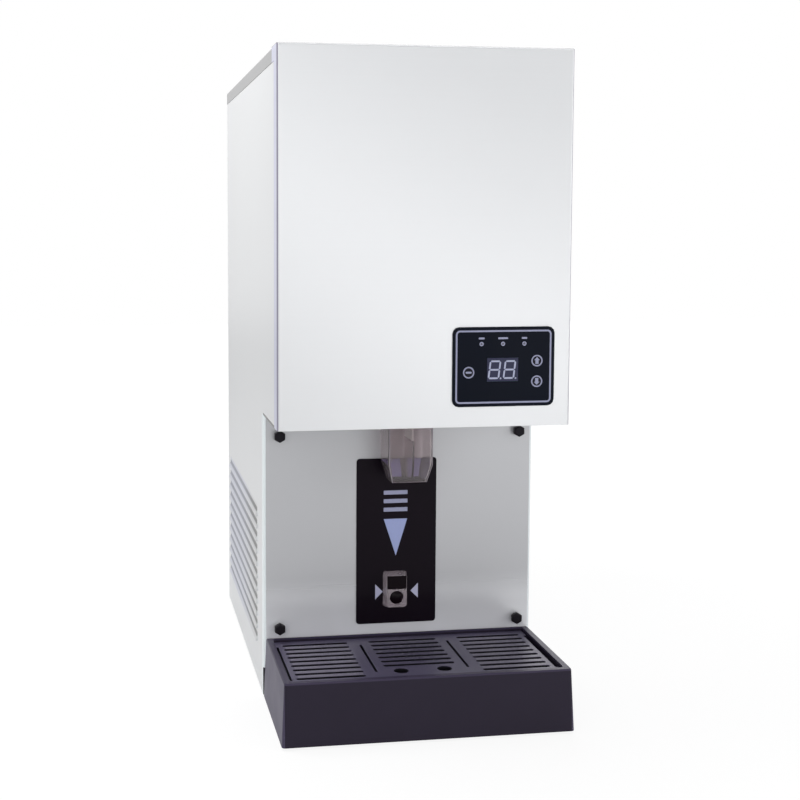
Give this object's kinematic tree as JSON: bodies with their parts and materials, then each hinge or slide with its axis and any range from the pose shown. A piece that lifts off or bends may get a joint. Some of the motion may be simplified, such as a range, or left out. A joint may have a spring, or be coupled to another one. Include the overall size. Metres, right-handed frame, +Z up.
{
  "type": "countertop ice maker and dispenser",
  "caption": "Tall counter ice maker with an overhanging head, a clear ice chute over a slotted drip tray, a keypad with display and louvred side panels.",
  "frame": {"origin": "on the counter, under the middle of the whole machine with its back fittings", "axes": "+X to the right of someone who faces the machine, +Y from the head's face to the back, +Z up from the counter"},
  "size_m": [0.355, 0.6594, 0.805],
  "materials": {
    "coated_steel": "satin pale grey coating",
    "cover_steel": "satin pale grey coating",
    "satin_steel": "fine brushed",
    "inner_steel": "plain mill",
    "black_steel": "satin black",
    "black_plastic": "fine grain",
    "grey_plastic": "satin",
    "gloss_black": "printed film",
    "key_plastic": "film over a dome",
    "clear_plastic": "smoky clear moulding",
    "pale_lens": "diffusing",
    "rubber": "moulded",
    "white_plastic": "plain",
    "foam": "insulated skin",
    "motor_grey": "semi-gloss",
    "board": "solder mask",
    "stainless": "polished",
    "copper": "drawn copper tube",
    "fins": "plain",
    "enamel": "gloss enamel"
  },
  "bodies": {
    "cabinet": {"foot_front_left": "rubber", "foot_front_right": "rubber", "foot_rear_left": "rubber", "foot_rear_right": "rubber", "base_pan": "black_steel", "fan_shroud": "black_steel", "left_side_panel": "coated_steel", "right_side_panel": "coated_steel", "front_panel": "coated_steel", "top_cover": "cover_steel", "rear_panel": "inner_steel", "head_floor": "inner_steel", "bin_cradle": "inner_steel", "middle_deck": "inner_steel", "splash_panel": "satin_steel", "power_inlet": "black_plastic", "label_plate": "gloss_black", "control_bezel": "gloss_black", "display_window": "gloss_black", "sensor_block": "clear_plastic", "ice_chute": "clear_plastic", "feed_hose": "clear_plastic", "indicator_lens_left": "pale_lens", "indicator_lens_middle": "pale_lens", "indicator_lens_right": "pale_lens", "control_board": "board", "storage_bin": "foam", "bin_lid": "foam", "freezing_cylinder": "foam", "extruder_head": "stainless", "agitator_gearmotor": "motor_grey", "flap_solenoid": "motor_grey", "auger_gearmotor": "motor_grey", "fan_motor": "motor_grey", "chute_neck": "white_plastic", "ice_spout": "white_plastic", "water_reservoir": "white_plastic", "water_inlet": "white_plastic", "drain_fitting": "white_plastic", "compressor": "enamel", "condenser": "fins", "discharge_pipe": "copper", "suction_pipe": "copper", "filter_drier": "copper"},
    "tray": {"drip_tray": "black_plastic"},
    "grille": {"drip_grille": "grey_plastic"},
    "knob_top_left": {"panel_knob_top_left": "black_plastic"},
    "knob_top_right": {"panel_knob_top_right": "black_plastic"},
    "knob_bottom_left": {"panel_knob_bottom_left": "black_plastic"},
    "knob_bottom_right": {"panel_knob_bottom_right": "black_plastic"},
    "left_key": {"key_left": "key_plastic"},
    "up_key": {"key_up": "key_plastic"},
    "down_key": {"key_down": "key_plastic"},
    "rocker": {"switch_rocker": "black_plastic"},
    "flap": {"ice_flap": "stainless"},
    "plunger": {"solenoid_plunger": "stainless"},
    "stirrer": {"agitator": "stainless"},
    "auger": {"freezer_auger": "stainless"},
    "fan": {"fan_blade": "black_plastic"},
    "float": {"float_arm": "white_plastic"}
  },
  "joints": [
    {"name": "tray_slide", "type": "slide", "parent": "cabinet", "child": "tray", "axis": [0, -1, 0], "range_m": [0, 0.16]},
    {"name": "grille_tip", "type": "hinge", "parent": "tray", "child": "grille", "pos_m": [0, -0.16055, 0.0725], "axis": [-1, 0, 0], "range_deg": [0, 40]},
    {"name": "knob_turn_top_left", "type": "hinge", "parent": "cabinet", "child": "knob_top_left", "pos_m": [-0.155, -0.15635, 0.336], "axis": [0, 1, 0], "continuous": true},
    {"name": "knob_turn_top_right", "type": "hinge", "parent": "cabinet", "child": "knob_top_right", "pos_m": [0.155, -0.15635, 0.336], "axis": [0, 1, 0], "continuous": true},
    {"name": "knob_turn_bottom_left", "type": "hinge", "parent": "cabinet", "child": "knob_bottom_left", "pos_m": [-0.155, -0.15635, 0.0905], "axis": [0, 1, 0], "continuous": true},
    {"name": "knob_turn_bottom_right", "type": "hinge", "parent": "cabinet", "child": "knob_bottom_right", "pos_m": [0.155, -0.15635, 0.0905], "axis": [0, 1, 0], "continuous": true},
    {"name": "left_key_press", "type": "slide", "parent": "cabinet", "child": "left_key", "axis": [0, 1, 0], "range_m": [0, 0.001], "stiffness_N_per_m": 400},
    {"name": "up_key_press", "type": "slide", "parent": "cabinet", "child": "up_key", "axis": [0, 1, 0], "range_m": [0, 0.001], "stiffness_N_per_m": 400},
    {"name": "down_key_press", "type": "slide", "parent": "cabinet", "child": "down_key", "axis": [0, 1, 0], "range_m": [0, 0.001], "stiffness_N_per_m": 400},
    {"name": "rocker_switch", "type": "hinge", "parent": "cabinet", "child": "rocker", "pos_m": [-0.105, 0.30445, 0.098], "axis": [1, 0, 0], "range_deg": [0, 8]},
    {"name": "flap_open", "type": "hinge", "parent": "cabinet", "child": "flap", "pos_m": [0, -0.17835, 0.4072], "axis": [1, 0, 0], "range_deg": [0, 60]},
    {"name": "plunger_pull", "type": "slide", "parent": "cabinet", "child": "plunger", "axis": [0, 1, 0], "range_m": [0, 0.0187]},
    {"name": "stirrer_turn", "type": "hinge", "parent": "cabinet", "child": "stirrer", "pos_m": [0, -0.11735, 0.435], "axis": [0, 0, 1], "continuous": true},
    {"name": "auger_turn", "type": "hinge", "parent": "cabinet", "child": "auger", "pos_m": [-0.06, 0.17965, 0.45], "axis": [0, 0, 1], "continuous": true},
    {"name": "fan_turn", "type": "hinge", "parent": "cabinet", "child": "fan", "pos_m": [-0.125, 0.07515, 0.1188], "axis": [1, 0, 0], "continuous": true},
    {"name": "float_swing", "type": "hinge", "parent": "cabinet", "child": "float", "pos_m": [0.1, 0.27815, 0.559], "axis": [1, 0, 0], "range_deg": [0, 35]}
  ],
  "couplings": [
    {"joint": "plunger_pull", "follows": "flap_open", "m_per_rad": 0.017647}
  ]
}
